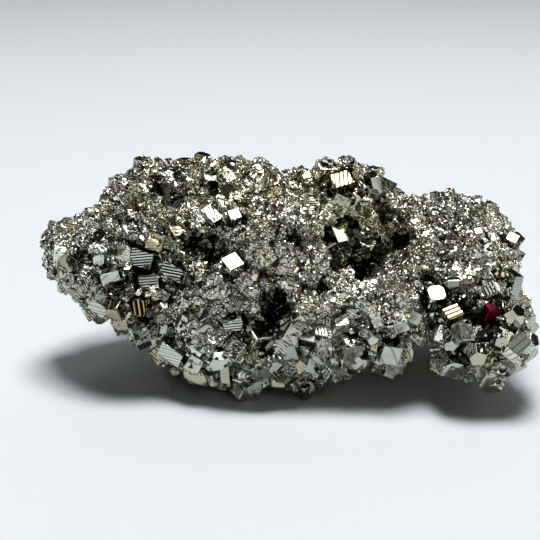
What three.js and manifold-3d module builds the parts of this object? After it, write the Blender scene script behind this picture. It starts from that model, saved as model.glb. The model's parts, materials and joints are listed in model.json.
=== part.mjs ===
// A pyrite specimen: a lumpy mass of intergrown crystals with the larger single crystals seated in it.
// Units are millimetres. +X runs along the length, +Y to the back, +Z up, and the origin is
// under the middle of the specimen, on the surface it rests on.
import * as THREE from "three";
import { ConvexGeometry } from "three/addons/geometries/ConvexGeometry.js";
import { ImprovedNoise } from "three/addons/math/ImprovedNoise.js";
import { mergeVertices } from "three/addons/utils/BufferGeometryUtils.js";
import Module from "manifold-3d";

const length = 150; // the space the mass is meshed in, nose to knob; its skin comes to about 146
const depth = 88; // front to back
const height = 66; // resting face to the top of the boulder
const seatGap = 0.35; // clearance all round a single crystal in its socket
const fillet = 5; // how softly neighbouring lumps run into one another
const pitchOfMesh = 3.3; // spacing of the grid the mass is meshed on
const nodule = { size: 11, rise: 4.5 }; // rounded clusters of grains
const grain = { size: 5, rise: 1.6 }; // coarse grains on the clusters

const wasm = await Module();
wasm.setup();
const noise = new ImprovedNoise();

// Lumps that grew into one another: centre, half sizes, how boxy each is (2 is an ellipsoid) and the
// tilt in degrees that lowers its right end.
const lumps = {
  foot: { at: [-9, -1, 8.5], half: [33, 27, 11] },
  core: { at: [-6, 5, 33], half: [43, 34, 25], boxy: 2.3 },
  leftNose: { at: [-53, 1, 35], half: [21, 22, 15] },
  leftFlank: { at: [-37, -9, 26], half: [33, 20, 15], tilt: 25 },
  leftShoulder: { at: [-40.5, 9, 43.5], half: [17, 25, 17], boxy: 2.4 },
  topLeftCrest: { at: [-25, 11, 50], half: [15, 17, 13.5] },
  topMiddleCrest: { at: [-9, 12, 49], half: [10, 14, 9.5] },
  centrePlateau: { at: [-13, -14, 38], half: [22, 19, 19], boxy: 2.4 },
  frontLedge: { at: [16, -21, 25.5], half: [25, 15, 12.5], boxy: 2.5 },
  lowerBelly: { at: [-6, -19, 15], half: [33, 17, 12], boxy: 2.3 },
  bellyEnd: { at: [23, -24, 19], half: [11, 9, 8], boxy: 2.6 },
  backBulge: { at: [-6, 23, 30], half: [42, 20, 22], boxy: 2.4 },
  rightLobe: { at: [46, 8, 33], half: [24, 27, 16.5], boxy: 3.4 },
  rightBack: { at: [38, 21, 26], half: [23, 18, 17] },
  rightFront: { at: [44, -16, 29], half: [22, 16, 12], boxy: 2.6 },
  rightCluster: { at: [54.5, -31, 20], half: [13.5, 12, 11.5], boxy: 2.3 },
  rightKnob: { at: [65, -24, 22.5], half: [5, 6, 5.5] },
};

// The boulder of coarser crystals near the crest stands in a moat that is open to the front and right.
const boulder = { at: [16.5, 3, 47], half: [13.5, 15, 17], boxy: 2.8 };
const moat = { at: [21, -7, 45], half: [15, 18, 14.5], boxy: 2.3 };

// Pits in the front.
const pits = {
  shoulderPit: { at: [-27, -32, 45], half: [10, 9, 4], tilt: -8 },
  platePit: { at: [-41, -28, 38], half: [6, 8, 4], tilt: -8 },
  bellyPit: { at: [-4, -40, 30], half: [5, 9, 8] },
  clusterPit: { at: [50, -44, 30], half: [7, 8, 4], tilt: 20 },
};

// The larger single crystals, each a part of its own in a socket of the mass. `at` is x, and z in the
// middle of the depth, and a crystal sits where the show line through that point meets the mass.
// The size is across, deep and up, before the turn in degrees.
const showLine = new THREE.Vector3(0, 0.95, -0.31).normalize();
const crystals = {
  crest_striped_block: { form: "block", size: [6, 5, 4.5], at: [15, 57.5], turn: [36, 5, 24] },
  crest_dark_cube: { form: "block", size: [5.4, 5, 4.6], at: [10.6, 62], turn: [24, 10, 14] },
  crest_plate: { form: "block", size: [2.5, 5, 5.5], at: [25, 58], turn: [10, -14, 12] },
  crest_left_cube: { form: "cut_cube", size: [4, 4, 4], at: [-24, 59], turn: [30, 15, 20] },
  crest_blade: { form: "block", size: [3.5, 6, 2.5], at: [-22.5, 47], turn: [36, 5, 42] },
  boulder_cube: { form: "block", size: [5, 5, 5], at: [13.5, 41], turn: [-29, -22, -51] },
  boulder_side_cube: { form: "cut_cube", size: [4.8, 4.8, 4.8], at: [22.5, 38], turn: [22, 12, -24] },
  bright_cube: { form: "block", size: [4.6, 4.6, 4.6], at: [-16.5, 32], turn: [36, 5, 35] },
  plateau_cube: { form: "block", size: [3.2, 3.2, 3.2], at: [-16, 46.5], turn: [36, 5, 20] },
  shoulder_plate: { form: "block", size: [6.4, 3, 5], at: [-43, 34.5], turn: [-1, 15, -9] },
  shoulder_block: { form: "block", size: [5.6, 4.6, 4.4], at: [-40.5, 27.5], turn: [-6, -6, -6] },
  shoulder_long_plate: { form: "block", size: [8.2, 3, 3.6], at: [-33, 30], turn: [-9, 30, -7] },
  shoulder_gold_block: { form: "block", size: [4, 4, 4.4], at: [-43.5, 19.5], turn: [-19, 14, 6] },
  shoulder_olive_cube: { form: "cut_cube", size: [4.4, 4.4, 4.4], at: [-50.2, 19], turn: [26, -20, -22] },
  nose_block: { form: "block", size: [5.4, 4, 3.6], at: [-52, 29], turn: [12, -12, 16] },
  nose_slanted_plate: { form: "block", size: [5.6, 2.6, 3.4], at: [-55.5, 19.5], turn: [10, 34, -14] },
  belly_grey_cube: { form: "block", size: [5.6, 5.6, 5.6], at: [-9.5, 10.5], turn: [22, 20, 30] },
  belly_slanted_plate: { form: "block", size: [5.6, 2.6, 4], at: [-16.5, 14.5], turn: [16, -16, 18] },
  belly_long_plate: { form: "block", size: [7.6, 3, 4.4], at: [-34, 5.5], turn: [14, 22, -32] },
  belly_round_crystal: { form: "pyritohedron", size: [8, 6, 5], at: [-27.2, -0.8], turn: [10, 20, -16] },
  belly_oval_crystal: { form: "pyritohedron", size: [7.4, 5, 6], at: [-20, 3.5], turn: [12, 0, 14] },
  belly_sage_cube: { form: "cut_cube", size: [6, 6, 6], at: [17, 8], turn: [24, 14, 20] },
  belly_end_cube: { form: "block", size: [5.8, 5.8, 5.8], at: [28, 6.5], turn: [8, 14, 10] },
  ledge_white_crystal: { form: "cut_cube", size: [4.8, 4.8, 5.2], at: [41, 22.5], turn: [36, 5, 12] },
  ledge_gold_block: { form: "block", size: [5, 4, 3.2], at: [45.5, 17.5], turn: [36, 5, 28] },
  cluster_red_face_block: { form: "block", size: [3.6, 3.6, 4], at: [56, 18], turn: [12, 16, 14] },
  cluster_lens_crystal: { form: "pyritohedron", size: [8.4, 7, 7], at: [52.5, 6.5], turn: [16, 10, 24] },
  cluster_left_crystal: { form: "pyritohedron", size: [6, 6, 6], at: [45.5, 9.8], turn: [30, 20, 6] },
  cluster_tan_crystal: { form: "pyritohedron", size: [6, 6, 6], at: [59, 11], turn: [24, 34, 12] },
  cluster_low_block: { form: "cut_cube", size: [5.6, 5.6, 5.6], at: [45, 3], turn: [20, 26, 14] },
  cluster_side_crystal: { form: "pyritohedron", size: [6, 6, 7], at: [62.6, 17], turn: [8, 26, -10] },
  knob_crystal: { form: "pyritohedron", size: [6.4, 7, 7], at: [66.6, 9.4], turn: [14, 40, 20] },
  right_side_plate: { form: "block", size: [3, 6, 8.4], at: [63.8, 26], turn: [4, 10, 26] },
  right_side_cube: { form: "block", size: [3.2, 3.2, 3.2], at: [65.8, 40], turn: [36, 5, -30] },
};

// How far a point lies outside a lump (negative inside), measured along the line from its centre.
function distanceTo({ at, half, boxy = 2, tilt = 0 }, point) {
  const local = new THREE.Vector3(...at).negate().add(point);
  local.applyAxisAngle(new THREE.Vector3(0, 1, 0), THREE.MathUtils.degToRad(-tilt));
  const [x, y, z] = half.map((size, axis) => Math.abs(local.getComponent(axis)) / size);
  const share = (x ** boxy + y ** boxy + z ** boxy) ** (1 / boxy);
  return share < 1e-6 ? -Math.min(...half) : local.length() * (1 - 1 / share);
}

// The smaller of two distances, rounded where they are nearly equal.
function blend(a, b) {
  const overlap = Math.max(fillet - Math.abs(a - b), 0);
  return Math.min(a, b) - overlap ** 2 / (4 * fillet);
}

// Rounded bumps with sharp creases between them.
function bumpAt(p, { size, rise }) {
  return rise * (Math.abs(noise.noise(p.x / size + 7.3, p.y / size + 2.9, p.z / size + 11.7)) - 0.2);
}

function massField(p) {
  let outside = Object.values(lumps).map((lump) => distanceTo(lump, p)).reduce(blend);
  outside = -blend(-outside, distanceTo(moat, p));
  outside = blend(outside, distanceTo(boulder, p));
  for (const pit of Object.values(pits)) outside = -blend(-outside, distanceTo(pit, p));
  return outside - bumpAt(p, nodule) - bumpAt(p, grain);
}

// Visits every point of a grid with i, j and k from `first` to below the count.
function everyPoint(first, count, visit) {
  for (let i = first; i < count.x; i++) {
    for (let j = first; j < count.y; j++) {
      for (let k = first; k < count.z; k++) visit(i, j, k);
    }
  }
}

// The surface where a field is zero, as quads round the edges of a grid that the surface crosses:
// each cell that it passes through gets one corner, at the middle of its crossings.
function skinOf(field, min, max, pitch) {
  const count = max.clone().sub(min).divideScalar(pitch).ceil().addScalar(1);
  const place = (i, j, k) => new THREE.Vector3(i, j, k).multiplyScalar(pitch).add(min);
  const index = (i, j, k) => (i * count.y + j) * count.z + k;
  const value = new Float32Array(count.x * count.y * count.z);
  everyPoint(0, count, (i, j, k) => {
    value[index(i, j, k)] = field(place(i, j, k));
  });
  const last = count.clone().subScalar(1);
  const axes = [[1, 0, 0], [0, 1, 0], [0, 0, 1]];

  // Where inside and outside points alternate round a square of the grid, two sheets of skin would touch
  // along an edge. The nearer outside point of such a square is taken inside.
  for (let changed = true; changed;) {
    changed = false;
    everyPoint(0, last, (i, j, k) => {
      for (const [u, v] of [[axes[0], axes[1]], [axes[1], axes[2]], [axes[2], axes[0]]]) {
        const square = [[0, 0], [1, 0], [1, 1], [0, 1]].map(([s, t]) =>
          index(i + s * u[0] + t * v[0], j + s * u[1] + t * v[1], k + s * u[2] + t * v[2]));
        const inside = square.map((point) => value[point] < 0);
        if (inside[0] !== inside[2] || inside[1] !== inside[3] || inside[0] === inside[1]) continue;
        const [near] = square.filter((point) => value[point] >= 0).sort((a, b) => value[a] - value[b]);
        value[near] = -pitch / 5;
        changed = true;
      }
    });
  }

  const positions = [];
  const cornerOf = new Map();
  const corner = (i, j, k) => {
    const cell = index(i, j, k);
    if (!cornerOf.has(cell)) {
      const sum = new THREE.Vector3();
      let crossings = 0;
      for (let a = 0; a < 8; a++) {
        for (const step of [1, 2, 4]) {
          if (a & step) continue;
          const ends = [a, a | step].map((bits) => [i + (bits & 1), j + ((bits >> 1) & 1), k + (bits >> 2)]);
          const [p, q] = ends;
          const [here, there] = [value[index(...p)], value[index(...q)]];
          if (here < 0 === there < 0) continue;
          sum.add(place(...p).lerp(place(...q), here / (here - there)));
          crossings++;
        }
      }
      cornerOf.set(cell, positions.length / 3);
      positions.push(...sum.divideScalar(crossings).toArray());
    }
    return cornerOf.get(cell);
  };
  const faces = [];
  everyPoint(1, last, (i, j, k) => {
    for (let axis = 0; axis < 3; axis++) {
      const inside = value[index(i, j, k)] < 0;
      const [di, dj, dk] = axes[axis];
      if (inside === value[index(i + di, j + dj, k + dk)] < 0) continue;
      const [u, v] = [axes[(axis + 1) % 3], axes[(axis + 2) % 3]];
      const ring = [[0, 0], [1, 0], [1, 1], [0, 1]].map(([s, t]) =>
        corner(i - s * u[0] - t * v[0], j - s * u[1] - t * v[1], k - s * u[2] - t * v[2]));
      const [a, b, c, d] = inside ? ring : ring.reverse();
      faces.push(a, b, c, a, c, d);
    }
  });
  const geometry = new THREE.BufferGeometry();
  geometry.setAttribute("position", new THREE.Float32BufferAttribute(positions, 3));
  geometry.setIndex(faces);
  return geometry;
}

// A geometry as a solid that can be joined and cut.
function solidOf(geometry) {
  const plain = geometry.clone();
  plain.deleteAttribute("normal");
  plain.deleteAttribute("uv");
  const merged = mergeVertices(plain, 1e-3);
  return new wasm.Manifold(new wasm.Mesh({
    numProp: 3,
    vertProperties: Float32Array.from(merged.getAttribute("position").array),
    triVerts: Uint32Array.from(merged.getIndex().array),
  }));
}

// A block, a cube with its corners cut off, or a pyritohedron, larger by `extra` on every side.
function crystalGeometry({ form, size }, extra = 0) {
  const [across, deep, up] = size.map((side) => side + 2 * extra);
  if (form === "block") return new THREE.BoxGeometry(across, deep, up);
  const corners = form === "cut_cube" ? [[1, 1, 0.55]] : [[0, 1, 0.5], [2 / 3, 2 / 3, 2 / 3]];
  const points = [];
  for (const [a, b, c] of corners) {
    for (const cycle of [[a, b, c], [b, c, a], [c, a, b]]) {
      for (let signs = 0; signs < 8; signs++) {
        const [x, y, z] = cycle.map((value, axis) => (signs >> axis & 1 ? -value : value) / 2);
        points.push(new THREE.Vector3(x * across, y * deep, z * up));
      }
    }
  }
  return new ConvexGeometry(points);
}

function geometryOf(solid) {
  const mesh = solid.getMesh();
  const geometry = new THREE.BufferGeometry();
  geometry.setAttribute("position", new THREE.BufferAttribute(Float32Array.from(mesh.vertProperties), 3));
  geometry.setIndex(new THREE.BufferAttribute(Uint32Array.from(mesh.triVerts), 1));
  geometry.computeVertexNormals();
  return geometry;
}

const margin = 4 * pitchOfMesh;
const lowCorner = new THREE.Vector3(-length / 2 - margin, -depth / 2 - margin, -margin);
const highCorner = new THREE.Vector3(length / 2 + margin, depth / 2 + margin, height + margin);
let mass = solidOf(skinOf(massField, lowCorner, highCorner, pitchOfMesh));

// The foot is broken off flat, so the specimen stands steady.
const below = new THREE.BoxGeometry(3 * length, 3 * depth, height).translate(0, 0, -height / 2);
mass = mass.subtract(solidOf(below));

const specimen = new THREE.Group();
const crystalPyrite = new THREE.MeshStandardMaterial({ color: 0xc9c0a0, roughness: 0.2, metalness: 0.9 });
const unpitted = new THREE.Mesh(geometryOf(mass));
for (const [name, crystal] of Object.entries(crystals)) {
  const [x, z] = crystal.at;
  const start = new THREE.Vector3(x, 0, z).addScaledVector(showLine, -2 * depth);
  const seat = new THREE.Raycaster(start, showLine).intersectObject(unpitted)[0].point;
  const sunk = 0.18 * Math.min(...crystal.size);
  const [rx, ry, rz] = crystal.turn.map(THREE.MathUtils.degToRad);
  const place = new THREE.Matrix4().makeRotationFromEuler(new THREE.Euler(rx, ry, rz))
    .setPosition(seat.addScaledVector(showLine, sunk));
  const body = solidOf(crystalGeometry(crystal).applyMatrix4(place));
  mass = mass.subtract(solidOf(crystalGeometry(crystal, seatGap).applyMatrix4(place)));
  const mesh = new THREE.Mesh(geometryOf(body), crystalPyrite);
  mesh.name = name;
  specimen.add(mesh);
}

const massPyrite = new THREE.MeshStandardMaterial({ color: 0xa39c84, roughness: 0.4, metalness: 0.9 });
const massMesh = new THREE.Mesh(geometryOf(mass), massPyrite);
massMesh.name = "pyrite_mass";
specimen.add(massMesh);

// The middle of the whole specimen is brought over the origin.
const middle = new THREE.Box3().setFromObject(specimen).getCenter(new THREE.Vector3());
for (const mesh of specimen.children) mesh.geometry.translate(-middle.x, -middle.y, 0);

export default specimen;
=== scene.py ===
# A pyrite specimen: a rough druse of small intergrown crystals with larger single crystals standing in it.
import bmesh
import bpy
import json
import math
import random
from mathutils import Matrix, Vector, noise
from mathutils.bvhtree import BVHTree
from mathutils.kdtree import KDTree

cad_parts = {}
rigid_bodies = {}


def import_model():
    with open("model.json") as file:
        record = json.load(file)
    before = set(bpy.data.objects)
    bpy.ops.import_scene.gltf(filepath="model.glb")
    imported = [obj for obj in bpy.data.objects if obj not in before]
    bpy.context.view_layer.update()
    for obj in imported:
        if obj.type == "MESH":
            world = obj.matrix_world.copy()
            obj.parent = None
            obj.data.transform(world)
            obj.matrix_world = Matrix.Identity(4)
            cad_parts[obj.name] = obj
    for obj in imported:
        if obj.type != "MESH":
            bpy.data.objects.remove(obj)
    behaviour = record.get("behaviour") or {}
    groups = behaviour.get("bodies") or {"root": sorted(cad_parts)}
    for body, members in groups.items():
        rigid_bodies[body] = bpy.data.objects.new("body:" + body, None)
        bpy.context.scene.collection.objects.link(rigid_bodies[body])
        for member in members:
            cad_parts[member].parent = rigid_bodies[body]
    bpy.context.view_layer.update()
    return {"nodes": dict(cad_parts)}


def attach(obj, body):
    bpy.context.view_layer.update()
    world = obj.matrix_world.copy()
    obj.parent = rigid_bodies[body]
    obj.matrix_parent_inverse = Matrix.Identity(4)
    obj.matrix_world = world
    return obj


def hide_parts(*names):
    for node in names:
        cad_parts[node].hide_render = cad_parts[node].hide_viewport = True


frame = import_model()

mm = 0.001
nodes = frame["nodes"]
crystalNames = [name for name in sorted(nodes) if name != "pyrite_mass"]
# Single crystals with smooth faces, with brassy stripes and with blades. They catch the light, so the druse
# keeps clear of them.
clean = ("bright_cube", "ledge_white_crystal", "boulder_cube", "plateau_cube", "right_side_cube")
gold = ("crest_striped_block", "ledge_gold_block", "shoulder_gold_block")
blades = ("crest_blade",)
random.seed(7)


def linear(hexColour):  # sRGB hex to the linear values that nodes take
    parts = [int(hexColour[i:i + 2], 16) / 255 for i in (1, 3, 5)]
    return tuple(c / 12.92 if c <= 0.04045 else ((c + 0.055) / 1.055) ** 2.4 for c in parts) + (1.0,)


def addNode(tree, kind, inputs=None, **settings):  # each input a value, a socket or a node
    node = tree.nodes.new(kind)
    for name, value in settings.items():
        setattr(node, name, value)
    for name, value in (inputs or {}).items():
        if isinstance(value, bpy.types.Node):
            value = value.outputs[0]
        if isinstance(value, bpy.types.NodeSocket):
            tree.links.new(value, node.inputs[name])
        else:
            node.inputs[name].default_value = value
    return node


def newObject(name, bm):  # a finished bmesh as an object
    mesh = bpy.data.meshes.new(name)
    bm.to_mesh(mesh)
    bm.free()
    obj = bpy.data.objects.new(name, mesh)
    bpy.context.scene.collection.objects.link(obj)
    return obj


def finishedMesh(obj):  # the mesh that an object's modifiers give
    seen = obj.evaluated_get(bpy.context.evaluated_depsgraph_get())
    return bpy.data.meshes.new_from_object(seen)


pyriteLook = {
    "tints": ("#e4e6dc", "#d3dad6", "#e8e0da", "#dad9c6", "#e0d8c2"),  # silvery to brassy, one a crystal
    "dull": "#8d9087", "film": 2.5,  # under a thin grey film, and mm across the patches of that film
    "olive": "#b0ab86",  # the olive of the upper faces, a painted reflection of the dim warm surroundings
    "soot": "#12120d",  # painted shade in the recesses and growth-line grooves
    "smooth": 0.1, "rough": 0.34,
    "lineSpacing": 0.7,  # mm from one growth line to the next; real ones are finer, drawn as coarse as shows
    "lineTilt": 0.3,  # how far the faces of a growth line lean, in mm per mm
    "lined": 0.4,  # share of crystals with strong growth lines
    "lineDark": 0.6, "lineWide": 0.3,  # how dark the painted shade in their grooves is, and how wide the grooves are
    "lineTurn": (40.0, 23.0, 31.0),  # radians over which the crystals' lines are turned each its own way
    "fleck": 0.42,  # mm across the tiny facets within a face; real ones are finer, drawn as coarse as shows
    "fleckTilt": 1.36, "fleckCalm": 0.85,  # how far they lean, and how much less where crystals lie parallel
}


def makePyrite(name, look):
    # Pyrite as it grew: metallic, mirror-smooth faces with fine growth lines, each crystal a little
    # different, greyer under its film, olive where a painted reflection of the dim warm surroundings is
    # laid on, and black with painted shade in the recesses.
    material = bpy.data.materials.new(name)
    material.use_nodes = True
    tree = material.node_tree
    tree.nodes.clear()
    place = addNode(tree, "ShaderNodeTexCoord").outputs["Object"]
    tone, warmth, shade, glint = (
        addNode(tree, "ShaderNodeAttribute", attribute_name=label).outputs["Fac"]
        for label in ("tone", "warmth", "shade", "glint"))

    def ownShare(spread):  # from 0 to 1, different on every crystal
        spreadTone = addNode(tree, "ShaderNodeMath", {0: tone, 1: spread}, operation="MULTIPLY")
        return addNode(tree, "ShaderNodeMath", {0: spreadTone}, operation="FRACT")

    tints = addNode(tree, "ShaderNodeValToRGB", {"Fac": ownShare(13.7)})
    tints.color_ramp.interpolation = "CONSTANT"
    for index, tint in enumerate(look["tints"]):
        stops = tints.color_ramp.elements
        stop = stops[0] if index == 0 else stops.new(index / len(look["tints"]))
        stop.color = linear(tint)
    tints.color_ramp.elements.remove(tints.color_ramp.elements[-1])
    film = addNode(tree, "ShaderNodeTexNoise", {
        "Vector": place, "Scale": 1 / (look["film"] * mm), "Detail": 3.0}).outputs["Fac"]
    dullness = addNode(tree, "ShaderNodeMath", {0: ownShare(5.1), 1: film}, operation="MULTIPLY")
    filmed = addNode(tree, "ShaderNodeMix", {
        "Factor": dullness, "A": tints, "B": linear(look["dull"])}, data_type="RGBA").outputs["Result"]
    # Olive is laid on as a painted reflection of the dim warm surroundings, mostly on the upper faces.
    tinted = addNode(tree, "ShaderNodeMix", {
        "Factor": warmth, "A": filmed, "B": linear(look["olive"])}, data_type="RGBA").outputs["Result"]
    # Growth lines run one way on each crystal, along its ribs where it has them: ridges whose two sides lean
    # apart, with grooves between that are darkened with painted shade.
    turn = addNode(tree, "ShaderNodeVectorMath", {0: look["lineTurn"], "Scale": tone}, operation="SCALE")
    turned = addNode(tree, "ShaderNodeVectorRotate", {"Vector": place, "Rotation": turn},
                     rotation_type="EULER_XYZ")
    alongTurned = addNode(tree, "ShaderNodeSeparateXYZ", {0: turned})
    lineAxis = addNode(tree, "ShaderNodeAttribute", attribute_name="lineAxis").outputs["Vector"]
    given = addNode(tree, "ShaderNodeVectorMath", {0: lineAxis}, operation="LENGTH").outputs["Value"]
    notGiven = addNode(tree, "ShaderNodeMath", {0: 1.0, 1: given}, operation="SUBTRACT")
    alongGiven = addNode(tree, "ShaderNodeVectorMath", {0: lineAxis, 1: place},
                         operation="DOT_PRODUCT").outputs["Value"]
    along = addNode(tree, "ShaderNodeMath", {0: alongTurned, 1: notGiven, 2: alongGiven},
                    operation="MULTIPLY_ADD")
    ridges = addNode(tree, "ShaderNodeTexWave", {
        "Vector": addNode(tree, "ShaderNodeCombineXYZ", {0: along}),
        "Scale": 2 * math.pi / (20 * look["lineSpacing"] * mm), "Distortion": 0.15, "Detail": 1.0},
        wave_profile="TRI").outputs["Fac"]
    isLined = addNode(tree, "ShaderNodeMath", {0: ownShare(7.3), 1: look["lined"]}, operation="LESS_THAN")
    groove = addNode(tree, "ShaderNodeMapRange", {
        "Value": ridges, "From Min": look["lineWide"] / 2, "From Max": look["lineWide"],
        "To Min": look["lineDark"], "To Max": 0.0})
    shadedGroove = addNode(tree, "ShaderNodeMath", {0: groove, 1: isLined}, operation="MULTIPLY")
    grooved = addNode(tree, "ShaderNodeMix", {
        "Factor": shadedGroove, "A": tinted, "B": linear(look["soot"])}, data_type="RGBA").outputs["Result"]
    # The shade attribute lays painted shade over the recesses, pits and valleys.
    shaded = addNode(tree, "ShaderNodeMix", {
        "Factor": shade, "A": grooved, "B": linear(look["soot"])}, data_type="RGBA").outputs["Result"]
    # Tiny facets inside a face each lean their own way, least where the crystals lie parallel.
    cells = addNode(tree, "ShaderNodeTexVoronoi", {"Vector": place, "Scale": 1 / (look["fleck"] * mm)})
    lean = addNode(tree, "ShaderNodeVectorMath", {0: cells.outputs["Color"], 1: (0.5, 0.5, 0.5)},
                   operation="SUBTRACT")
    calm = addNode(tree, "ShaderNodeMath", {0: glint, 1: -look["fleckCalm"], 2: 1.0},
                   operation="MULTIPLY_ADD")
    rugged = addNode(tree, "ShaderNodeMath", {0: ownShare(3.9), 1: calm}, operation="MULTIPLY")
    tilt = addNode(tree, "ShaderNodeMath", {0: rugged, 1: look["fleckTilt"]}, operation="MULTIPLY")
    leaned = addNode(tree, "ShaderNodeVectorMath", {0: lean, "Scale": tilt}, operation="SCALE")
    faceNormal = addNode(tree, "ShaderNodeNewGeometry").outputs["Normal"]
    flecked = addNode(tree, "ShaderNodeVectorMath", {0: faceNormal, 1: leaned}, operation="ADD")
    fleckNormal = addNode(tree, "ShaderNodeVectorMath", {0: flecked}, operation="NORMALIZE")
    bump = addNode(tree, "ShaderNodeBump", {
        "Height": ridges, "Strength": isLined, "Distance": look["lineTilt"] * look["lineSpacing"] * mm / 2,
        "Normal": fleckNormal})
    gloss = addNode(tree, "ShaderNodeMapRange", {
        "Value": dullness, "To Min": look["smooth"], "To Max": look["rough"]})
    shader = addNode(tree, "ShaderNodeBsdfPrincipled", {
        "Base Color": shaded, "Metallic": 1.0, "Roughness": gloss, "Normal": bump})
    addNode(tree, "ShaderNodeOutputMaterial", {"Surface": shader})
    return material


# Drusy pyrite: small crystals that glitter, since the tiny facets lean far apart.
drusePyrite = makePyrite("drusyPyriteGrown", pyriteLook)
# Coarse pyrite: larger, calmer faces, from bright silver to dark grey.
coarsePyrite = makePyrite("coarsePyriteGrown", {
    **pyriteLook, "tints": ("#cad0c5", "#b6beb6", "#d8d5ca", "#c0c2ac", "#dfe4da", "#8d8f83", "#c2b698"),
    "dull": "#80857c", "lineSpacing": 0.75, "lineTilt": 0.16, "lined": 0.6, "fleck": 0.8, "fleckTilt": 0.52})
# Single pyrite crystals: the smoothest faces, which mirror what stands round them.
singlePyrite = makePyrite("singlePyriteFacesGrown", {
    **pyriteLook, "tints": ("#d4d9ce", "#c2c9c2", "#dcd7cd", "#cacab4"), "dull": "#80857d",
    "smooth": 0.06, "rough": 0.2, "lineSpacing": 0.8, "lineTilt": 0.14, "lined": 0.5, "lineDark": 0.4,
    "fleck": 1.0, "fleckTilt": 0.28})
# Clean pyrite at its brassiest, as on freshly grown striped blocks, with near-black painted shade in its
# grooves.
goldPyrite = makePyrite("brassyPyriteFacesGrown", {
    **pyriteLook, "tints": ("#e6dcba", "#dfd1a6", "#ece6d2", "#d6c596"), "dull": "#a89a72",
    "olive": "#b8a672", "soot": "#2a1c08", "smooth": 0.08, "rough": 0.25, "lineSpacing": 1.3,
    "lineTilt": 0.05, "lineDark": 0.97, "lineWide": 0.6, "fleckTilt": 0.08})
# A deep crimson painted on pyrite, a painted reflection of something red: still metallic.
redReflectionPyrite = makePyrite("crimsonTarnishedPyrite", {
    **pyriteLook, "tints": ("#9c1038", "#8c0f3a"), "dull": "#5a0a22", "olive": "#7a1030", "smooth": 0.2,
    "rough": 0.4, "lined": 0.0, "fleckTilt": 0.2})
# Pyrite deep between the crystals, darkened with painted shade: dim and almost black.
creviceShade = makePyrite("oxideFilmedPyriteInCrevices", {
    **pyriteLook, "tints": ("#4a483c", "#34332b"), "dull": "#1c1c17", "olive": "#3a3728", "smooth": 0.3,
    "rough": 0.5})

massLook = {
    "voxel": 0.8, "sunk": 0.9,  # mm
    "soften": (0.5, 6),  # strength and rounds
    "lumps": (9.0, 3.4), "knobs": (3.6, 2.0),  # size and height in mm of two sizes of bumps
    "bare": 0.5, "lowNear": 2.4, "dip": 1.1,  # mm round a single crystal without bumps and over which they
    # then rise, and how far the mass sinks there
    "flat": 0.3, "foot": 3.0,  # mm above the resting face without bumps, and over which they begin
    "valley": (0.045, 0.17), "valleySoot": 0.85,  # how hollow the valleys with painted shade are, and how dark that shade is
    "pitLine": (0, 0.93, -0.37),  # the way the pits run in
    # Pits and clefts, darkened with painted shade: middle, radius and depth in mm.
    "pits": [
        ((-26, -23, 47), 4.5, 5), ((-21, -25, 46), 4.5, 5), ((-41, -20, 38), 4.0, 4),
        ((-3, -30, 31), 5.0, 6), ((-3, -30, 26), 4.5, 5), ((41, -28, 37.5), 3.0, 3),
        ((51, -34, 29.5), 4.0, 5), ((55, -37, 28), 3.5, 4),
        ((14, -22, 41), 4.0, 4), ((20, -8, 33), 5.0, 3), ((12.5, -16.5, 37), 3.5, 4), ((25, -8, 36), 4.0, 3),
        ((-33, -7, 56), 4.0, 4), ((-37.5, -6, 58), 3.0, 3), ((-61, -19, 40), 2.5, 3),
        ((-48.5, -27, 34), 3.0, 3), ((11, -30, 35), 2.5, 3), ((2.6, -26, 49), 3.0, 3),
        ((46.5, -15, 45), 2.5, 2.5), ((28, -6, 55), 3.0, 4), ((30, -5, 49), 2.8, 3), ((28, -9, 41), 2.5, 4),
        ((-40, -27, 24.5), 3.0, 3), ((-30, 36, 30), 5.0, 0), ((22, 40, 24), 5.0, 0), ((-62, 14, 32), 4.0, 0),
    ],
    "hollows": [((19, -11.5, 48.5), 5.5, 6.5), ((17, -13, 47), 3.0, 2.5)],  # as the pits, without painted shade
}


def crystalTree(names):  # the faces of some single crystals, to measure from
    corners, faces = [], []
    for name in names:
        mesh = nodes[name].data
        faces += [[len(corners) + index for index in polygon.vertices] for polygon in mesh.polygons]
        corners += [vert.co.copy() for vert in mesh.vertices]
    return BVHTree.FromPolygons(corners, faces)


def carvePits(bm):
    pitLine = Vector(massLook["pitLine"]).normalized()
    for vert in bm.verts:
        for centre, radius, depth in massLook["pits"] + massLook["hollows"]:
            away = (vert.co / mm - Vector(centre)).length / radius
            if away < 1:
                vert.co += pitLine * depth * mm * (1 - away ** 2) ** 2


def raiseBumps(bm):  # on the free surface; round the single crystals it sinks instead
    bm.normal_update()
    singles = crystalTree(crystalNames)
    for vert in bm.verts:
        p = vert.co / mm
        if p.z < massLook["flat"]:
            continue
        _, _, _, away = singles.find_nearest(vert.co)
        free = max(0, min(1, (away / mm - massLook["bare"]) / massLook["lowNear"]))
        rise = -massLook["sunk"] - massLook["dip"] * (1 - free)
        for size, height in (massLook["lumps"], massLook["knobs"]):
            rise += height * (abs(noise.noise(p / size)) * 2 - 0.5) * free
        vert.co += vert.normal * rise * mm * min(1, p.z / massLook["foot"])
        vert.co.z = max(vert.co.z, 0)


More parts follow.
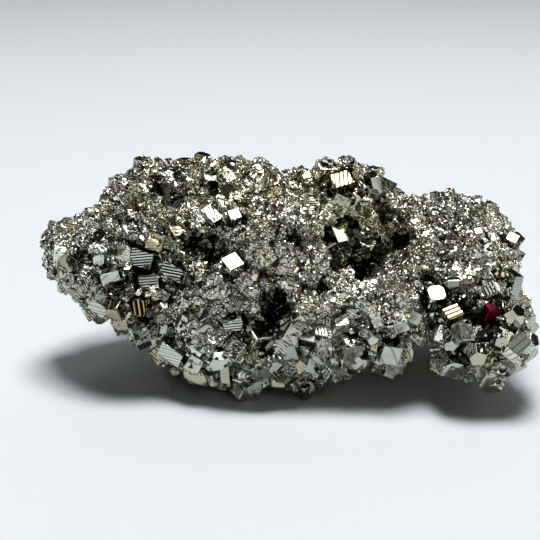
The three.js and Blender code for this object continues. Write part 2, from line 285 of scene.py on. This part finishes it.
def shadeValleys(bm):  # paints shade on the vertices that lie lower than those round them
    bm.normal_update()
    bm.verts.ensure_lookup_table()
    around = [[edge.other_vert(vert).index for edge in vert.link_edges] for vert in bm.verts]
    hollow = []
    for vert, others in zip(bm.verts, around):
        middle = sum((bm.verts[index].co for index in others), Vector()) / len(others)
        hollow.append((middle - vert.co).dot(vert.normal) / (massLook["voxel"] * mm))
    for _ in range(2):  # evened out twice
        hollow = [(value + sum(hollow[index] for index in others)) / (1 + len(others))
                  for value, others in zip(hollow, around)]
    low, high = massLook["valley"]
    shade = bm.verts.layers.float.new("shade")
    for vert, value in zip(bm.verts, hollow):
        vert[shade] = massLook["valleySoot"] * max(0, min(1, (value - low) / (high - low)))


def makeMass():
    bm = bmesh.new()
    bm.from_mesh(nodes["pyrite_mass"].data)
    bmesh.ops.remove_doubles(bm, verts=bm.verts, dist=1e-6)
    obj = newObject("druseMass", bm)
    remesh = obj.modifiers.new("even", "REMESH")
    remesh.mode = "VOXEL"
    remesh.voxel_size = massLook["voxel"] * mm
    smooth = obj.modifiers.new("soften", "SMOOTH")
    smooth.factor, smooth.iterations = massLook["soften"]
    mesh = finishedMesh(obj)
    obj.modifiers.clear()
    obj.data = mesh
    bm = bmesh.new()
    bm.from_mesh(mesh)
    carvePits(bm)
    raiseBumps(bm)
    shadeValleys(bm)
    bm.to_mesh(mesh)
    bm.free()
    return obj


druseMass = makeMass()
print("mass made:", len(druseMass.data.polygons), "faces")

coverLook = {
    # Where each size of crystal grows: middle and radius in mm, how much of the surface there carries coarse
    # and medium crystals, and its olive tint, a painted reflection that is strongest on the upper zones.
    "zones": {
        "lowCluster": ((54, -34, 19), 17, 1.0, 0.8, 0.0),
        "knob": ((65, -24, 22), 9, 1.0, 0.7, 0.1),
        "bandLeft": ((-38, -24, 14), 12, 0.8, 0.9, 0.0),
        "bandMiddle": ((-20, -32, 11), 14, 0.9, 0.9, 0.0),
        "bandCentre": ((0, -34, 11), 15, 0.8, 0.9, 0.0),
        "bandRight": ((20, -33, 15), 13, 0.9, 0.9, 0.0),
        "bandEnd": ((31, -29, 16), 8, 0.9, 0.9, 0.0),
        "leftPlates": ((-40, -19, 36), 11, 0.9, 0.9, 0.1),
        "leftSage": ((-48, -21, 39), 11, 0.8, 0.9, 0.0),
        "shoulderBlades": ((-28, -20, 48), 9, 0.6, 0.9, 0.3),
        "boulder": ((17, -3, 48), 15, 0.4, 0.9, 0.7),
        "crest": ((-22, 2, 60), 20, 0.1, 0.7, 0.55),
        "leftCrest": ((-42, 0, 57), 14, 0.1, 0.8, 0.45),
        "rightEdge": ((65, -12, 36), 12, 0.12, 0.8, 0.15),
        "sageMound": ((-19, -31, 24), 8, 0.5, 0.9, 0.0),
        "blocks": ((15, -32, 20), 9, 0.7, 0.9, 0.0),
        "nose": ((-64, -8, 38), 12, 0.15, 0.7, 0.1),
        "backLeft": ((-32, 34, 22), 18, 0.8, 0.8, 0.1),
        "backRight": ((36, 36, 32), 14, 0.5, 0.9, 0.4),
    },
    "zoneReach": 1.4,  # radii at which a zone ends
    "ground": (0.015, 0.14, 0.2),  # the same three shares elsewhere
    "tarnish": 0.8,  # strength of all the olive painted reflection
    "pitReach": 1.3, "pitSoot": (2.4, 1.8, 0.8),  # radii the painted shade of a pit reaches, its start, fall and most
    # Patches whose crystals grew parallel and catch the light together, in mm.
    "brightPatches": [
        (-14, -32, 37), (49, -30, 34), (51, -9, 48), (36, -14, 42), (-34, 3, 60), (-25, 7, 63), (-41, -4, 59),
        (-32, 2, 59), (-20, -9, 57), (-17, 1, 60), (-1, 7, 58), (-8, 7, 60), (58, -29, 34), (57, -15, 44),
        (52, -10, 48), (41, -18, 44), (14, -33, 32), (46, -11, 47), (61, -12, 43), (45, -20, 42),
        (53, -28, 37), (56, -20, 41), (38, -6, 49), (48, -24, 39), (42, -10, 47), (55, -10, 46),
        (60, -18, 38), (50, -16, 45), (44, -24, 38), (56, -24, 36), (37, -14, 43), (62, -6, 42), (30, -3, 50),
        (24, -10, 52), (26, -6, 50), (24, -9, 46), (20, -11, 50), (2, 13, 58), (5, 0, 59), (-17, -28, 41),
        (-23, -29, 38), (-50, 30, 34), (10, 42, 30), (55, 28, 34),
    ],
    "patchReach": 2.6, "patchShare": 0.9,  # mm, and share of the crystals in its middle that lie parallel
    "lowest": 1.2,  # mm above the resting face where crystals begin
    # How near to a single crystal's faces each size grows, in mm, and how near to those that catch the light.
    "clearance": {"fine": 0.4, "medium": 0.8, "coarse": 1.3, "large": 3.4},
    "brightClearance": {"fine": 0.6, "medium": 1.3, "coarse": 3.2, "large": 5.0},
    "thinned": (0.8, 0.6),  # how far the coarse crystals take the room of the fine and the medium ones
    "mostSoot": 0.3,  # painted shade on which coarse crystals still grow
    "crevice": 0.8,  # tone of the mass itself
}


def paintZones(obj):
    mesh = obj.data
    total = len(mesh.vertices)
    near = KDTree(total)
    for index, vert in enumerate(mesh.vertices):
        near.insert(vert.co, index)
    near.balance()
    shareNames = ("coarse", "medium", "warmth")
    values = {name: [start] * total for name, start in zip(shareNames, coverLook["ground"])}
    values.update({name: [0.0] * total for name in ("fine", "large", "glint")})
    values["shade"] = [item.value for item in mesh.attributes["shade"].data]
    reach = coverLook["zoneReach"]
    for centre, radius, *shares in coverLook["zones"].values():
        for _, index, away in near.find_range(Vector(centre) * mm, reach * radius * mm):
            share = min(1, reach - away / mm / radius)
            for name, wanted in zip(shareNames, shares):
                values[name][index] += (wanted - values[name][index]) * share
    # Painted shade in and round the pits.
    start, fall, most = coverLook["pitSoot"]
    for centre, radius, depth in massLook["pits"]:
        middle = (Vector(centre) + Vector(massLook["pitLine"]) * depth / 2) * mm
        for _, index, away in near.find_range(middle, coverLook["pitReach"] * radius * mm):
            soot = min(most, start - fall * away / mm / radius)
            values["shade"][index] = max(values["shade"][index], soot)
    patchReach = coverLook["patchReach"]
    for centre in coverLook["brightPatches"]:
        for _, index, away in near.find_range(Vector(centre) * mm, patchReach * mm):
            glint = coverLook["patchShare"] * (1 - (away / mm / patchReach) ** 3)
            values["glint"][index] = max(values["glint"][index], glint)
    singles, bright = crystalTree(crystalNames), crystalTree(clean + gold + blades)
    clearance, brightClearance = coverLook["clearance"], coverLook["brightClearance"]
    fineThinned, mediumThinned = coverLook["thinned"]
    for index, vert in enumerate(mesh.vertices):
        away, awayBright = singles.find_nearest(vert.co)[3] / mm, bright.find_nearest(vert.co)[3] / mm
        isHigh = vert.co.z > coverLook["lowest"] * mm
        free = {size: isHigh and away > clearance[size] and awayBright > brightClearance[size]
                for size in clearance}
        coarse = values["coarse"][index]
        values["fine"][index] = free["fine"] * (1 - fineThinned * coarse)
        values["medium"][index] *= free["medium"] * (1 - mediumThinned * coarse)
        isClean = values["shade"][index] <= coverLook["mostSoot"]
        values["large"][index] = free["large"] * isClean * max(0, coarse * 10 - 9)  # where it's above 0.9
        values["coarse"][index] = free["coarse"] * isClean * coarse
        values["warmth"][index] *= coverLook["tarnish"]
    for name, numbers in values.items():
        attribute = mesh.attributes.get(name) or mesh.attributes.new(name, "FLOAT", "POINT")
        attribute.data.foreach_set("value", numbers)
    tones = mesh.attributes.new("tone", "FLOAT", "POINT")
    tones.data.foreach_set("value", [coverLook["crevice"]] * total)


paintZones(druseMass)
print("zones painted")


# Seed shapes of the small crystals, one unit across.
def cubeSeed(bm, across=1, deep=1, up=1):
    bmesh.ops.create_cube(bm, size=1)
    bmesh.ops.scale(bm, vec=(across, deep, up), verts=bm.verts)


def cutCubeSeed(bm, cut=0.28):
    bmesh.ops.create_cube(bm, size=1.1)
    bmesh.ops.bevel(bm, geom=bm.verts[:], offset=cut, affect="VERTICES", segments=1, profile=0.5, material=-1)


def pyritohedronSeed(bm):  # twelve five-sided faces: a cube with each edge planed at the pyrite angle
    bmesh.ops.create_cube(bm, size=1.4)
    for axis in range(3):
        for signs in range(4):
            normal = Vector((0, 0, 0))
            normal[axis] = 2 if signs & 1 else -2
            normal[(axis + 1) % 3] = 1 if signs & 2 else -1
            normal.normalize()
            cut = bmesh.ops.bisect_plane(bm, geom=bm.verts[:] + bm.edges[:] + bm.faces[:], dist=1e-5,
                                         plane_co=normal * 0.52, plane_no=normal, clear_outer=True)
            edges = [e for e in cut["geom_cut"] if isinstance(e, bmesh.types.BMEdge)]
            bmesh.ops.contextual_create(bm, geom=edges)
    bmesh.ops.recalc_face_normals(bm, faces=bm.faces)


def steppedSeed(bm, across=1, deep=1, up=1):  # a block with a raised step of growth on its faces
    cubeSeed(bm, across, deep, up)
    bmesh.ops.inset_individual(bm, faces=bm.faces[:], thickness=0.1, depth=0.04)


def ribbedSeed(bm, across=1, deep=1, up=1, ribs=5):  # a block whose sides stand in ribs
    cubeSeed(bm, across, deep, up)
    for rib in range(1, ribs):
        bmesh.ops.bisect_plane(bm, geom=bm.verts[:] + bm.edges[:] + bm.faces[:], dist=1e-5,
                               plane_co=(0, 0, up * (rib / ribs - 0.5)), plane_no=(0, 0, 1))
    sides = [f for f in bm.faces if abs(f.normal.z) < 0.5]
    grooves = [f for f in sides if int((f.calc_center_median().z / up + 0.5) * ribs) % 2]
    bmesh.ops.inset_individual(bm, faces=grooves, thickness=0.008, depth=-0.05)


def discSeed(bm, layers=3):  # thin discs stacked like pages
    bmesh.ops.create_circle(bm, cap_ends=True, segments=9, radius=0.62)
    bmesh.ops.scale(bm, vec=(1, 0.8, 1), verts=bm.verts)
    lid = bm.faces[:]
    for layer in range(layers):
        grown = bmesh.ops.extrude_face_region(bm, geom=lid)
        lid = [f for f in grown["geom"] if isinstance(f, bmesh.types.BMFace)]
        bmesh.ops.translate(bm, vec=(0, 0, 0.13), verts=lid[0].verts[:])
        if layer < layers - 1:
            bmesh.ops.inset_region(bm, faces=lid, thickness=0.05)
    bmesh.ops.recalc_face_normals(bm, faces=bm.faces)


def softEdges(bm, width):
    sharp = [e for e in bm.edges if e.calc_face_angle(0) > 0.3]
    bmesh.ops.bevel(bm, geom=sharp, offset=width, affect="EDGES", segments=1, profile=0.5, material=-1,
                    clamp_overlap=True)


def makeSeeds(label, shapes):  # for each shape its maker, its settings and the width of its soft edges
    collection = bpy.data.collections.new(label)
    for index, (shape, settings, bevel) in enumerate(shapes):
        bm = bmesh.new()
        shape(bm, **settings)
        if bevel:
            softEdges(bm, bevel)
        mesh = bpy.data.meshes.new(f"{label}{index}")
        bm.to_mesh(mesh)
        bm.free()
        collection.objects.link(bpy.data.objects.new(f"{label}{index}", mesh))
    return collection


fineSeeds = makeSeeds("fineSeed", [
    (cubeSeed, {}, 0), (cubeSeed, {"across": 1.3, "deep": 0.7}, 0), (cubeSeed, {"across": 0.8, "up": 1.4}, 0),
    (cutCubeSeed, {}, 0)])
mediumSeeds = makeSeeds("mediumSeed", [
    (cubeSeed, {}, 0), (cutCubeSeed, {}, 0), (pyritohedronSeed, {}, 0),
    (cubeSeed, {"across": 1.4, "deep": 0.55}, 0), (steppedSeed, {}, 0),
    (ribbedSeed, {"across": 1.1, "deep": 0.7}, 0)])
coarseSeeds = makeSeeds("coarseSeed", [
    (cutCubeSeed, {"cut": 0.2}, 0.03), (pyritohedronSeed, {}, 0.04),
    (steppedSeed, {"across": 1.3, "up": 0.6}, 0), (ribbedSeed, {"across": 1.2, "deep": 0.8}, 0),
    (cubeSeed, {}, 0.03), (discSeed, {}, 0),
    (ribbedSeed, {"across": 0.8, "deep": 1.0, "up": 1.3, "ribs": 7}, 0), (steppedSeed, {}, 0)])

# size: mm across; spacing: mm between centres; sunk: share of the size below the surface; patch: mm across a
# patch that grew parallel; aligned: share of its crystals that follow it; outward: share with a face turned
# out; parts: where the cover is parted along the length, in mm; glints: whether it has the bright patches.
growth = {
    "fine": {
        "seeds": fineSeeds, "size": (0.55, 1.35), "spacing": 0.68, "sunk": 0.2, "patch": 6.0, "aligned": 0.55,
        "outward": 0.0, "parts": (-48, -28, -10, 8, 26, 44), "material": drusePyrite, "glints": True},
    "medium": {
        "seeds": mediumSeeds, "size": (1.4, 2.9), "spacing": 1.35, "sunk": 0.27, "patch": 8.0, "aligned": 0.5,
        "outward": 0.2, "parts": (-22, 18), "material": drusePyrite, "glints": True},
    "coarse": {
        "seeds": coarseSeeds, "size": (2.4, 5.2), "spacing": 1.85, "sunk": 0.34, "patch": 12.0,
        "aligned": 0.2, "outward": 0.88, "parts": (0,), "material": coarsePyrite, "glints": False},
    "large": {
        "seeds": coarseSeeds, "size": (4.4, 6.8), "spacing": 3.8, "sunk": 0.42, "patch": 12.0,
        "aligned": 0.0, "outward": 0.95, "parts": (), "material": coarsePyrite, "glints": False},
}
catchLight = (0.09, -0.59, 0.80)  # the way the faces of the bright patches look
# How far crystals turn at random, in radians: in a patch, outside one, round outwards and round catchLight.
looseness = {"patch": 0.14, "free": math.pi, "outward": 0.3, "glint": 0.07}


def growDruse(label, plan, seed, fromX, toX, name):
    tree = bpy.data.node_groups.new(name, "GeometryNodeTree")
    tree.interface.new_socket("Geometry", in_out="INPUT", socket_type="NodeSocketGeometry")
    tree.interface.new_socket("Geometry", in_out="OUTPUT", socket_type="NodeSocketGeometry")

    def chance(share, draw):  # true for that share of the crystals
        roll = addNode(tree, "FunctionNodeRandomValue", {2: 0.0, 3: 1.0, "Seed": seed + draw},
                       data_type="FLOAT").outputs[1]
        return addNode(tree, "FunctionNodeCompare", {0: roll, 1: share}, operation="LESS_THAN")

    def turnTo(rotation, direction, wobble, when):  # turns a face of some crystals to look one way
        aim = addNode(tree, "ShaderNodeVectorMath", {0: direction, 1: wobble}, operation="ADD")
        turned = addNode(tree, "FunctionNodeAlignRotationToVector", {"Rotation": rotation, "Vector": aim},
                         axis="Z")
        return addNode(tree, "GeometryNodeSwitch", {"Switch": when, "False": rotation, "True": turned},
                       input_type="ROTATION")

    surface = addNode(tree, "NodeGroupInput")
    share = addNode(tree, "GeometryNodeInputNamedAttribute", {"Name": label}, data_type="FLOAT")
    spots = addNode(tree, "GeometryNodeDistributePointsOnFaces", {
        "Mesh": surface, "Distance Min": plan["spacing"] * mm, "Density Factor": share, "Seed": seed,
        "Density Max": 2.5 / (plan["spacing"] * mm) ** 2},  # more than the spacing leaves room for
        distribute_method="POISSON")
    size = addNode(tree, "FunctionNodeRandomValue", {
        2: plan["size"][0] * mm, 3: plan["size"][1] * mm, "Seed": seed + 1}, data_type="FLOAT").outputs[1]
    sink = addNode(tree, "ShaderNodeMath", {0: size, 1: -plan["sunk"]}, operation="MULTIPLY")
    inwards = addNode(tree, "ShaderNodeVectorMath", {0: spots.outputs["Normal"], "Scale": sink},
                      operation="SCALE")
    sunk = addNode(tree, "GeometryNodeSetPosition", {"Geometry": spots.outputs["Points"], "Offset": inwards})
    # Crystals in one patch are nearly parallel, and the rest lie anyhow.
    loose = {
        kind: addNode(tree, "FunctionNodeRandomValue", {
            0: (-looseness[kind],) * 3, 1: (looseness[kind],) * 3, "Seed": seed + draw},
            data_type="FLOAT_VECTOR")
        for kind, draw in (("patch", 2), ("free", 3), ("outward", 5), ("glint", 7))}
    place = addNode(tree, "GeometryNodeInputPosition")
    patch = addNode(tree, "ShaderNodeTexVoronoi", {"Vector": place, "Scale": 1 / (plan["patch"] * mm)})
    patchTurn = addNode(tree, "ShaderNodeVectorMath", {0: patch.outputs["Color"], "Scale": 2 * math.pi},
                        operation="SCALE")
    parallel = addNode(tree, "ShaderNodeVectorMath", {0: patchTurn, 1: loose["patch"]}, operation="ADD")
    chosen = addNode(tree, "GeometryNodeSwitch", {
        "Switch": chance(plan["aligned"], 4), "False": loose["free"], "True": parallel}, input_type="VECTOR")
    turn = addNode(tree, "FunctionNodeEulerToRotation", {0: chosen})
    turn = turnTo(turn, spots.outputs["Normal"], loose["outward"], chance(plan["outward"], 6))
    if plan["glints"]:
        glint = addNode(tree, "GeometryNodeInputNamedAttribute", {"Name": "glint"}, data_type="FLOAT")
        turn = turnTo(turn, catchLight, loose["glint"], chance(glint, 8))
    x = addNode(tree, "ShaderNodeSeparateXYZ", {0: place})
    above = addNode(tree, "FunctionNodeCompare", {0: x, 1: fromX * mm}, operation="GREATER_EQUAL")
    under = addNode(tree, "FunctionNodeCompare", {0: x, 1: toX * mm}, operation="LESS_THAN")
    here = addNode(tree, "FunctionNodeBooleanMath", {0: above, 1: under}, operation="AND")
    seeds = addNode(tree, "GeometryNodeCollectionInfo", {
        "Collection": plan["seeds"], "Separate Children": True, "Reset Children": True})
    which = addNode(tree, "FunctionNodeRandomValue", {
        4: 0, 5: len(plan["seeds"].objects) - 1, "Seed": seed + 9}, data_type="INT").outputs[2]
    crystals = addNode(tree, "GeometryNodeInstanceOnPoints", {
        "Points": sunk, "Selection": here, "Instance": seeds, "Pick Instance": True, "Instance Index": which,
        "Rotation": turn, "Scale": size})
    tone = addNode(tree, "FunctionNodeRandomValue", {2: 0.0, 3: 1.0, "Seed": seed + 10},
                   data_type="FLOAT").outputs[1]
    toned = addNode(tree, "GeometryNodeStoreNamedAttribute", {
        "Geometry": crystals, "Name": "tone", "Value": tone}, data_type="FLOAT", domain="INSTANCE")
    real = addNode(tree, "GeometryNodeRealizeInstances", {0: toned})
    addNode(tree, "NodeGroupOutput", {0: real})
    grower = druseMass.modifiers.new(name, "NODES")
    grower.node_group = tree
    mesh = finishedMesh(druseMass)
    druseMass.modifiers.remove(grower)
    bpy.data.node_groups.remove(tree)
    mesh.name = name
    mesh.materials.clear()
    mesh.materials.append(plan["material"])
    grown = bpy.data.objects.new(name, mesh)
    bpy.context.scene.collection.objects.link(grown)
    return grown


druse = []
for seed, (label, plan) in enumerate(growth.items()):
    edges = (-1000, *plan["parts"], 1000)  # the outermost two lie well beyond the ends
    for part, (fromX, toX) in enumerate(zip(edges, edges[1:])):
        piece = growDruse(label, plan, 20 * seed + 3, fromX, toX, f"{label}Druse{part}")
        druse.append(piece)
        print(piece.name, "grown:", sum(len(p.vertices) - 2 for p in piece.data.polygons), "triangles")
for seeds in (fineSeeds, mediumSeeds, coarseSeeds):
    for obj in list(seeds.objects):
        bpy.data.objects.remove(obj)
    bpy.data.collections.remove(seeds)
# The mass between the crystals is coloured with painted shade.
druseMass.data.materials.clear()
druseMass.data.materials.append(creviceShade)
for piece in [druseMass] + druse:
    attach(piece, "root")
    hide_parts("pyrite_mass")


singleLook = {
    "edge": 0.12,  # mm
    "grooves": (0.05, 0.1), "wideGrooves": (0.08, 0.2),  # half width of a groove, as a share of a rib
    "grooveShift": 0.25,  # how far a groove is out of its place, as a share of a rib
    "grooveBevel": 0.02, "grooveSoot": 0.75,  # mm, and how dark the painted shade in the grooves is
    "leastSide": 0.15, "leastFace": 3,  # mm2 from which a side gets grooves and a face gets a step
    "stepWidth": 0.45, "stepVary": (0.6, 1.4), "stepRise": 0.05,  # mm, times, mm
    # The way the ribs are stacked, how many, and how deep their grooves are in mm.
    "ribbed": {
        "crest_striped_block": ((1, 0, 0), 7, 0.12),
        "ledge_gold_block": ((-0.4, 0.7, 0.5), 6, 0.12),
        "shoulder_plate": ((0, 0, 1), 7, 0.08),
        "shoulder_block": ((0, 0, 1), 6, 0.08),
        "shoulder_long_plate": ((0, 0, 1), 5, 0.08),
        "shoulder_gold_block": ((1, 0, 0), 7, 0.1),
        "crest_blade": ((1, 0, 0.5), 4, 0.3),
        "belly_slanted_plate": ((0, 0, 1), 5, 0.05),
        "belly_long_plate": ((0, 0, 1), 7, 0.06),
        "nose_slanted_plate": ((0, 0, 1), 5, 0.06),
        "knob_crystal": ((0, 0, 1), 7, 0.08),
    },
    # Raised steps of growth on each face.
    "stepped": {
        "belly_oval_crystal": 3, "belly_round_crystal": 3, "belly_grey_cube": 1, "shoulder_olive_cube": 1,
        "cluster_low_block": 2, "crest_dark_cube": 1, "nose_block": 2, "belly_end_cube": 1,
        "cluster_left_crystal": 2, "cluster_tan_crystal": 1,
    },
    # From 0 silvery to 1 olive.
    "tarnish": {
        "crest_striped_block": 0.3, "ledge_gold_block": 0.3, "shoulder_gold_block": 0.8,
        "shoulder_olive_cube": 0.9, "crest_dark_cube": 0.6, "boulder_cube": 0.5, "cluster_tan_crystal": 0.4,
    },
    "leastTarnish": 0.1,  # on all the others
    "cleanTone": 0.395, "linedTone": 0.59,  # shiny faces without growth lines, and with them
}


def cutRibs(bm, stack, count, depth, widths):
    stack = Vector(stack).normalized()
    axis = max((f.normal for f in bm.faces), key=lambda normal: normal.dot(stack)).copy()
    places = sorted(v.co.dot(axis) for v in bm.verts)
    low, high = places[0], places[-1]
    pitch = (high - low) / count
    shift = singleLook["grooveShift"]
    cuts = []
    for rib in range(1, count):  # a narrow groove between each two ribs
        middle, wide = low + pitch * (rib + random.uniform(-shift, shift)), pitch * random.uniform(*widths)
        cuts += [middle - wide, middle + wide]
    for cut in cuts:
        bmesh.ops.bisect_plane(bm, geom=bm.verts[:] + bm.edges[:] + bm.faces[:], dist=1e-7,
                               plane_co=axis * cut, plane_no=axis)
    shade = bm.faces.layers.float.new("shade")
    leastSide = singleLook["leastSide"] * mm ** 2
    grooves = [f for f in bm.faces if abs(f.normal.dot(axis)) < 0.4 and f.calc_area() > leastSide
               and sum(cut < f.calc_center_median().dot(axis) for cut in cuts) % 2]
    bmesh.ops.inset_individual(bm, faces=grooves, thickness=singleLook["grooveBevel"] * mm, depth=-depth * mm)
    # The groove floors get painted shade.
    for groove in grooves:
        groove[shade] = singleLook["grooveSoot"]
    return axis


def makeCrystal(name):
    bm = bmesh.new()
    bm.from_mesh(nodes[name].data)
    bmesh.ops.remove_doubles(bm, verts=bm.verts, dist=1e-6)
    bmesh.ops.dissolve_limit(bm, angle_limit=0.02, verts=bm.verts, edges=bm.edges)
    bmesh.ops.bevel(bm, geom=bm.edges[:], offset=singleLook["edge"] * mm, affect="EDGES", segments=2,
                    profile=0.5, material=-1)
    isRibbed = name in singleLook["ribbed"]
    widths = singleLook["wideGrooves" if name in gold + blades else "grooves"]
    lineAxis = cutRibs(bm, *singleLook["ribbed"][name], widths) if isRibbed else Vector((0, 0, 0))
    for _ in range(singleLook["stepped"].get(name, 0)):
        wide = [f for f in bm.faces if f.calc_area() > singleLook["leastFace"] * mm ** 2]
        width = singleLook["stepWidth"] * random.uniform(*singleLook["stepVary"]) * mm
        bmesh.ops.inset_individual(bm, faces=wide, thickness=width, depth=singleLook["stepRise"] * mm)
    words = name.split("_")
    obj = newObject(words[0] + "".join(word.capitalize() for word in words[1:]), bm)
    mesh = obj.data
    faceCount, cornerCount = len(mesh.polygons), len(mesh.vertices)
    if name in clean:
        tone = singleLook["cleanTone"]
    else:
        tone = singleLook["linedTone"] if isRibbed else random.random()
    lines = mesh.attributes.new("lineAxis", "FLOAT_VECTOR", "FACE")
    lines.data.foreach_set("vector", [*lineAxis] * faceCount)
    mesh.attributes.new("tone", "FLOAT", "FACE").data.foreach_set("value", [tone] * faceCount)
    warmth = singleLook["tarnish"].get(name, singleLook["leastTarnish"])
    for label, value in (("warmth", warmth), ("glint", 1.0 if name in clean + gold else 0.0)):
        mesh.attributes.new(label, "FLOAT", "POINT").data.foreach_set("value", [value] * cornerCount)
    isRed = "red" in name
    mesh.materials.append(redReflectionPyrite if isRed else goldPyrite if name in gold else singlePyrite)
    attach(obj, "root")
    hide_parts(name)
    return obj


singles = [makeCrystal(name) for name in crystalNames]
print("single crystals made:", len(singles))

# Softboxes: place, aim, width and depth in metres, watts and colour. Some light the crystals alone and some
# the paper alone.
crystalsOnly, paperOnly = {"onPaper": False}, {"inReflections": False}
studio = {
    "paper": "#edf3f8", "halfWidth": 4.0,  # metres
    "softboxes": {
        "overheadSoftbox": ((0.05, 0.03, 1.35), (0, 0, 0), 0.54, 0.5, 11.5, "#fffdfb", crystalsOnly),
        "overheadSpill": ((0.05, 0.03, 1.35), (0, 0, 0), 0.54, 0.5, 20.0, "#faf9f8", paperOnly),
        "overheadStrip": ((0.44, 0.0, 1.35), (0, 0, 0), 0.26, 0.3, 2.4, "#fffdfb", crystalsOnly),
        "ceilingBounce": ((0.0, -0.1, 2.3), (0, -0.1, 0), 2.8, 2.6, 36.0, "#f6f9ff", crystalsOnly),
        "backSpill": ((0.0, 2.4, 1.9), (0, 0.3, 0), 3.0, 1.6, 15.0, "#f8f9fb", paperOnly),
        "rightSoftbox": ((0.9, 0.15, 0.57), (0, 0, 0.03), 0.35, 0.35, 1.0, "#fffcf8", crystalsOnly),
        "leftPanel": ((-1.3, -0.1, 0.3), (0, 0, 0.03), 0.9, 0.5, 0.1, "#e9ecdc", crystalsOnly),
        "rightPanel": ((1.3, -0.2, 0.25), (0, 0, 0.03), 0.9, 0.45, 2.2, "#eadfd0", crystalsOnly),
        "frontPanel": ((0.7, -1.1, 0.34), (0, 0, 0.03), 1.4, 0.64, 2.9, "#f2f2ea", crystalsOnly),
    },
    "room": "#6b7074", "roomStrength": 0.08,
}


def makePaper():
    bm = bmesh.new()
    bmesh.ops.create_grid(bm, x_segments=1, y_segments=1, size=studio["halfWidth"])
    paper = newObject("paperSheet", bm)
    # Matt paper: white with a cool cast, no gloss.
    material = bpy.data.materials.new("mattPaper")
    material.use_nodes = True
    shader = material.node_tree.nodes["Principled BSDF"]
    shader.inputs["Base Color"].default_value = linear(studio["paper"])
    shader.inputs["Roughness"].default_value = 0.9
    paper.data.materials.append(material)
    return paper


makePaper()


def addSoftbox(name, place, aim, width, depth, watts, colour, inReflections=True, onPaper=True):
    light = bpy.data.lights.new(name, "AREA")
    light.shape, light.size, light.size_y = "RECTANGLE", width, depth
    light.energy, light.color = watts, linear(colour)[:3]
    lamp = bpy.data.objects.new(name, light)
    lamp.location = place
    lamp.rotation_euler = (Vector(aim) - Vector(place)).to_track_quat("-Z", "Y").to_euler()
    lamp.visible_glossy, lamp.visible_diffuse = inReflections, onPaper
    bpy.context.scene.collection.objects.link(lamp)


for name, (*settings, seenBy) in studio["softboxes"].items():
    addSoftbox(name, *settings, **seenBy)

world = bpy.data.worlds.new("darkStudio")
world.use_nodes = True
world.node_tree.nodes["Background"].inputs["Color"].default_value = linear(studio["room"])
world.node_tree.nodes["Background"].inputs["Strength"].default_value = studio["roomStrength"]
bpy.context.scene.world = world
bpy.context.scene.view_settings.view_transform = "Standard"

view = {"target": (-0.0045, 0.0007, 0.0308), "rise": 18, "distance": 0.413, "lens": 90}  # metres, degrees, mm
camera = bpy.data.objects.new("camera", bpy.data.cameras.new("camera"))
camera.data.lens = view["lens"]
camera.data.clip_start = 0.01
back = Vector((0, -math.cos(math.radians(view["rise"])), math.sin(math.radians(view["rise"]))))
camera.location = Vector(view["target"]) + back * view["distance"]
camera.rotation_euler = back.to_track_quat("Z", "Y").to_euler()
bpy.context.scene.collection.objects.link(camera)
bpy.context.scene.camera = camera
print("stage, lights and camera set")
